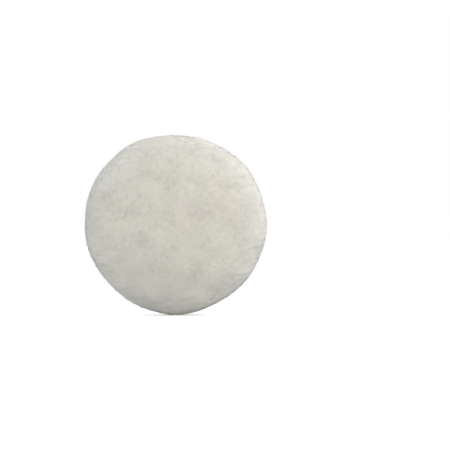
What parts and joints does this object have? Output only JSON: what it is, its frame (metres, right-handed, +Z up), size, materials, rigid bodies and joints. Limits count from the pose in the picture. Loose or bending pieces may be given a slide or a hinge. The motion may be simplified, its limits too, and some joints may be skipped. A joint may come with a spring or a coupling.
{
  "type": "wool polishing pad",
  "caption": "Round wool polishing pad with a soft domed pile face and an overlocked hook-and-loop back that presses onto a polisher's backing plate.",
  "frame": {"origin": "centre of the loop face, where the polisher's backing plate bears", "axes": "+Y out of the loop face, along the spin axis towards the polisher; the wool faces -Y; +Z up, with the pad held upright"},
  "size_m": [0.185, 0.03, 0.185],
  "materials": {
    "wool": "dense natural wool pile, warm cream",
    "hide": "undyed hide, suede side",
    "foam": "thin open-cell foam",
    "loop_fabric": "brushed white loop knit",
    "thread": "spun overlock thread"
  },
  "bodies": {
    "root": {"wool_pile": "wool", "hide_disc": "hide", "foam_layer": "foam", "loop_fabric": "loop_fabric", "needle_thread": "thread", "upper_looper_thread": "thread", "lower_looper_thread": "thread"}
  },
  "joints": []
}
